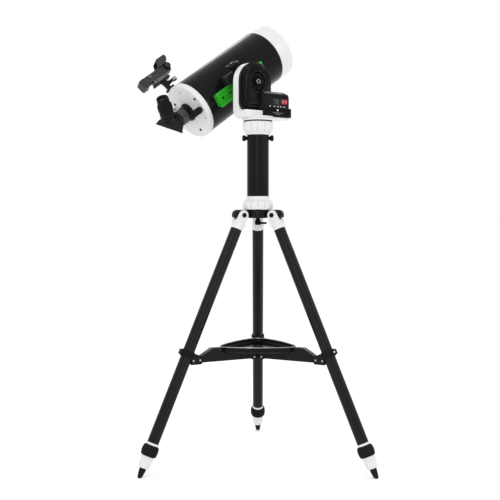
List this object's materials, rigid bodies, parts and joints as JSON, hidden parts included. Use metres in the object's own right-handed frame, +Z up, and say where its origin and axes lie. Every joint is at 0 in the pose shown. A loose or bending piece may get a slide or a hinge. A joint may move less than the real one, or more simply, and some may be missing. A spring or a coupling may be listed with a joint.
{
  "type": "maksutov telescope",
  "caption": "Compact mirror telescope with diagonal, eyepiece and red-dot sight, on a one-armed motorised mount, a pillar and a folding tripod with a tray.",
  "frame": {"origin": "the floor, under the middle of the whole object's box", "axes": "+Z up, +X to the right and +Y away from the side with the mount's control panel"},
  "size_m": [0.58, 0.488, 1.1051],
  "materials": {
    "tripod_hub": "satin black die casting",
    "hub_bolt": "black moulded lever on a steel bolt",
    "lower_flange": "smooth white casting",
    "pillar_tube": "gloss black tube",
    "upper_flange": "smooth white casting with fine ribs",
    "pillar_screw_left": "black thumb screw",
    "pillar_screw_right": "black thumb screw",
    "azimuth_base": "white turntable base",
    "leg_clevis_1": "white painted casting",
    "leg_pin_1": "black steel bolt",
    "leg_tube_1": "satin black steel tube with a white ferrule",
    "leg_lock_1": "black rubber twist grip",
    "inner_leg_1": "bright tube with a white end casting",
    "rubber_foot_1": "black rubber tip",
    "spreader_bracket_1": "black moulded clamp",
    "spreader_arm_1": "black pressed steel channel",
    "leg_clevis_2": "white painted casting",
    "leg_pin_2": "black steel bolt",
    "leg_tube_2": "satin black steel tube with a white ferrule",
    "leg_lock_2": "black rubber twist grip",
    "inner_leg_2": "bright tube with a white end casting",
    "rubber_foot_2": "black rubber tip",
    "spreader_bracket_2": "black moulded clamp",
    "spreader_arm_2": "black pressed steel channel",
    "leg_clevis_3": "white painted casting",
    "leg_pin_3": "black steel bolt",
    "leg_tube_3": "satin black steel tube with a white ferrule",
    "leg_lock_3": "black rubber twist grip",
    "inner_leg_3": "bright tube with a white end casting",
    "rubber_foot_3": "black rubber tip",
    "spreader_bracket_3": "black moulded clamp",
    "spreader_arm_3": "black pressed steel channel",
    "spreader_hub": "black hub with bright rivets",
    "accessory_tray": "glossy black dish",
    "arm_housing": "white moulded housing",
    "side_cover": "glossy black stepped cover",
    "battery_box": "black moulded box",
    "control_panel": null,
    "power_switch": "red rocker",
    "altitude_axle": "turned steel",
    "altitude_wheel": "brass worm wheel",
    "clutch_knob": "black lobed knob",
    "saddle": "black anodised saddle",
    "clamp_jaw": "black anodised jaw",
    "clamp_knob": "black lobed knob",
    "dovetail_bar": "bright green anodised bar",
    "optical_tube": "gloss black painted tube",
    "rear_cell": "white painted cell",
    "front_cell": "white painted cell",
    "corrector_lens": "coated meniscus lens",
    "primary_mirror": "aluminised mirror",
    "baffle_tube": "matt black baffle",
    "visual_back": "black anodised ring",
    "focus_knob": "black ribbed knob",
    "diagonal_body": "black diagonal body",
    "diagonal_cover": "black cover plate",
    "eyepiece": "black eyepiece with a ribbed grip",
    "finder_bracket": "black moulded foot and rail",
    "finder_screw": "knurled thumb screw",
    "finder_body": "black red-dot sight"
  },
  "bodies": {
    "stand": {"tripod_hub": "tripod_hub", "lower_flange": "lower_flange", "pillar_tube": "pillar_tube", "upper_flange": "upper_flange", "azimuth_base": "azimuth_base", "leg_pin_1": "leg_pin_1", "leg_pin_2": "leg_pin_2", "leg_pin_3": "leg_pin_3"},
    "hub_bolt": {"hub_bolt": "hub_bolt"},
    "pillar_screw_left": {"pillar_screw_left": "pillar_screw_left"},
    "pillar_screw_right": {"pillar_screw_right": "pillar_screw_right"},
    "leg_1": {"leg_clevis_1": "leg_clevis_1", "leg_tube_1": "leg_tube_1", "spreader_bracket_1": "spreader_bracket_1"},
    "lock_1": {"leg_lock_1": "leg_lock_1"},
    "foot_1": {"inner_leg_1": "inner_leg_1", "rubber_foot_1": "rubber_foot_1"},
    "arm_1": {"spreader_arm_1": "spreader_arm_1"},
    "leg_2": {"leg_clevis_2": "leg_clevis_2", "leg_tube_2": "leg_tube_2", "spreader_bracket_2": "spreader_bracket_2"},
    "lock_2": {"leg_lock_2": "leg_lock_2"},
    "foot_2": {"inner_leg_2": "inner_leg_2", "rubber_foot_2": "rubber_foot_2"},
    "arm_2": {"spreader_arm_2": "spreader_arm_2"},
    "leg_3": {"leg_clevis_3": "leg_clevis_3", "leg_tube_3": "leg_tube_3", "spreader_bracket_3": "spreader_bracket_3"},
    "lock_3": {"leg_lock_3": "leg_lock_3"},
    "foot_3": {"inner_leg_3": "inner_leg_3", "rubber_foot_3": "rubber_foot_3"},
    "arm_3": {"spreader_arm_3": "spreader_arm_3"},
    "spreader": {"spreader_hub": "spreader_hub", "accessory_tray": "accessory_tray"},
    "mount": {"arm_housing": "arm_housing", "side_cover": "side_cover", "battery_box": "battery_box", "control_panel": "control_panel"},
    "power_switch": {"power_switch": "power_switch"},
    "saddle": {"altitude_axle": "altitude_axle", "altitude_wheel": "altitude_wheel", "saddle": "saddle"},
    "clutch_knob": {"clutch_knob": "clutch_knob"},
    "clamp_jaw": {"clamp_jaw": "clamp_jaw"},
    "clamp_knob": {"clamp_knob": "clamp_knob"},
    "tube": {"dovetail_bar": "dovetail_bar", "optical_tube": "optical_tube", "rear_cell": "rear_cell", "front_cell": "front_cell", "corrector_lens": "corrector_lens", "baffle_tube": "baffle_tube", "visual_back": "visual_back", "finder_bracket": "finder_bracket"},
    "focus_knob": {"focus_knob": "focus_knob"},
    "primary_mirror": {"primary_mirror": "primary_mirror"},
    "diagonal": {"diagonal_body": "diagonal_body", "diagonal_cover": "diagonal_cover"},
    "eyepiece": {"eyepiece": "eyepiece"},
    "finder_body": {"finder_body": "finder_body"},
    "finder_screw": {"finder_screw": "finder_screw"}
  },
  "joints": [
    {"name": "leg_1_fold", "type": "hinge", "parent": "stand", "child": "leg_1", "pos_m": [0.0117, -0.0322, 0.6067], "axis": [-1, 0, 0], "range_deg": [0, 5]},
    {"name": "leg_2_fold", "type": "hinge", "parent": "stand", "child": "leg_2", "pos_m": [-0.0277, -0.10045, 0.6067], "axis": [0.5, -0.866, 0], "range_deg": [0, 5]},
    {"name": "leg_3_fold", "type": "hinge", "parent": "stand", "child": "leg_3", "pos_m": [0.0511, -0.10045, 0.6067], "axis": [0.5, 0.866, 0], "range_deg": [0, 5]},
    {"name": "leg_1_extend", "type": "slide", "parent": "leg_1", "child": "foot_1", "axis": [0, 0.4083, -0.9128], "range_m": [0, 0.36]},
    {"name": "leg_1_lock", "type": "hinge", "parent": "leg_1", "child": "lock_1", "pos_m": [0.0117, 0.21239, 0.05991], "axis": [0, 0.4083, -0.9128], "range_deg": [0, 90]},
    {"name": "leg_2_extend", "type": "slide", "parent": "leg_2", "child": "foot_2", "axis": [-0.3536, -0.2042, -0.9128], "range_m": [0, 0.36]},
    {"name": "leg_2_lock", "type": "hinge", "parent": "leg_2", "child": "lock_2", "pos_m": [-0.23952, -0.22274, 0.05991], "axis": [-0.3536, -0.2042, -0.9128], "range_deg": [0, 90]},
    {"name": "leg_3_extend", "type": "slide", "parent": "leg_3", "child": "foot_3", "axis": [0.3536, -0.2042, -0.9128], "range_m": [0, 0.36]},
    {"name": "leg_3_lock", "type": "hinge", "parent": "leg_3", "child": "lock_3", "pos_m": [0.26293, -0.22274, 0.05991], "axis": [0.3536, -0.2042, -0.9128], "range_deg": [0, 90]},
    {"name": "spreader_lift", "type": "slide", "parent": "stand", "child": "spreader", "axis": [0, 0, 1], "range_m": [0, 0.0952]},
    {"name": "arm_1_fold", "type": "hinge", "parent": "spreader", "child": "arm_1", "pos_m": [0.0117, -0.0627, 0.26], "axis": [-1, 0, 0], "range_deg": [0, 45]},
    {"name": "arm_2_fold", "type": "hinge", "parent": "spreader", "child": "arm_2", "pos_m": [-0.00129, -0.0852, 0.26], "axis": [0.5, -0.866, 0], "range_deg": [0, 45]},
    {"name": "arm_3_fold", "type": "hinge", "parent": "spreader", "child": "arm_3", "pos_m": [0.02469, -0.0852, 0.26], "axis": [0.5, 0.866, 0], "range_deg": [0, 45]},
    {"name": "hub_bolt_turn", "type": "hinge", "parent": "stand", "child": "hub_bolt", "pos_m": [0.0117, -0.0777, 0.6], "axis": [0, 0, 1], "continuous": true},
    {"name": "pillar_screw_right_turn", "type": "hinge", "parent": "stand", "child": "pillar_screw_right", "pos_m": [0.0457, -0.0777, 0.795], "axis": [1, 0, 0], "continuous": true},
    {"name": "pillar_screw_left_turn", "type": "hinge", "parent": "stand", "child": "pillar_screw_left", "pos_m": [-0.0223, -0.0777, 0.795], "axis": [-1, 0, 0], "continuous": true},
    {"name": "azimuth", "type": "hinge", "parent": "stand", "child": "mount", "pos_m": [0.0117, -0.0777, 0.843], "axis": [0, 0, 1], "continuous": true},
    {"name": "power_switch_rock", "type": "hinge", "parent": "mount", "child": "power_switch", "pos_m": [0.07568, -0.04086, 0.887], "axis": [0, 0, 1], "range_deg": [-8, 8]},
    {"name": "altitude", "type": "hinge", "parent": "mount", "child": "saddle", "pos_m": [-0.00449, -0.05735, 0.933], "axis": [0.6225, -0.7826, 0], "range_deg": [-48.8, 56.2]},
    {"name": "clutch_turn", "type": "hinge", "parent": "saddle", "child": "clutch_knob", "pos_m": [0.00796, -0.073, 0.933], "axis": [-0.6225, 0.7826, 0], "range_deg": [0, 60]},
    {"name": "clamp_jaw_slide", "type": "slide", "parent": "saddle", "child": "clamp_jaw", "axis": [-0.4354, -0.3463, 0.831], "range_m": [0, 0.003]},
    {"name": "clamp_knob_turn", "type": "hinge", "parent": "clamp_jaw", "child": "clamp_knob", "pos_m": [-0.04968, -0.05101, 0.97454], "axis": [-0.4354, -0.3463, 0.831], "range_deg": [0, 720]},
    {"name": "tube_balance", "type": "slide", "parent": "saddle", "child": "tube", "axis": [0.6503, 0.5173, 0.5563], "range_m": [-0.03, 0.03]},
    {"name": "focus_turn", "type": "hinge", "parent": "tube", "child": "focus_knob", "pos_m": [-0.1387, -0.07543, 0.85864], "axis": [0.6503, 0.5173, 0.5563], "range_deg": [-1800, 1800]},
    {"name": "mirror_focus", "type": "slide", "parent": "tube", "child": "primary_mirror", "axis": [0.6503, 0.5173, 0.5563], "range_m": [-0.0079, 0.0079]},
    {"name": "diagonal_turn", "type": "hinge", "parent": "tube", "child": "diagonal", "pos_m": [-0.17434, -0.0307, 0.85512], "axis": [0.6503, 0.5173, 0.5563], "range_deg": [-90, 90]},
    {"name": "eyepiece_pull", "type": "slide", "parent": "diagonal", "child": "eyepiece", "axis": [-0.1936, -0.5952, 0.7799], "range_m": [0, 0.03]},
    {"name": "finder_slide", "type": "slide", "parent": "tube", "child": "finder_body", "axis": [0.6503, 0.5173, 0.5563], "range_m": [-0.02, 0.005]},
    {"name": "finder_screw_turn", "type": "hinge", "parent": "tube", "child": "finder_screw", "pos_m": [-0.20121, 0.00607, 0.9512], "axis": [0.6503, 0.5173, 0.5563], "continuous": true}
  ],
  "couplings": [
    {"joint": "leg_2_fold", "follows": "leg_1_fold", "ratio": 1},
    {"joint": "leg_3_fold", "follows": "leg_1_fold", "ratio": 1},
    {"joint": "spreader_lift", "follows": "leg_1_fold", "m_per_rad": 1.0875},
    {"joint": "arm_1_fold", "follows": "leg_1_fold", "ratio": 8.38},
    {"joint": "arm_2_fold", "follows": "leg_1_fold", "ratio": 8.38},
    {"joint": "arm_3_fold", "follows": "leg_1_fold", "ratio": 8.38},
    {"joint": "clamp_knob_turn", "follows": "clamp_jaw_slide", "rad_per_m": 4188},
    {"joint": "focus_turn", "follows": "mirror_focus", "rad_per_m": 3976}
  ]
}
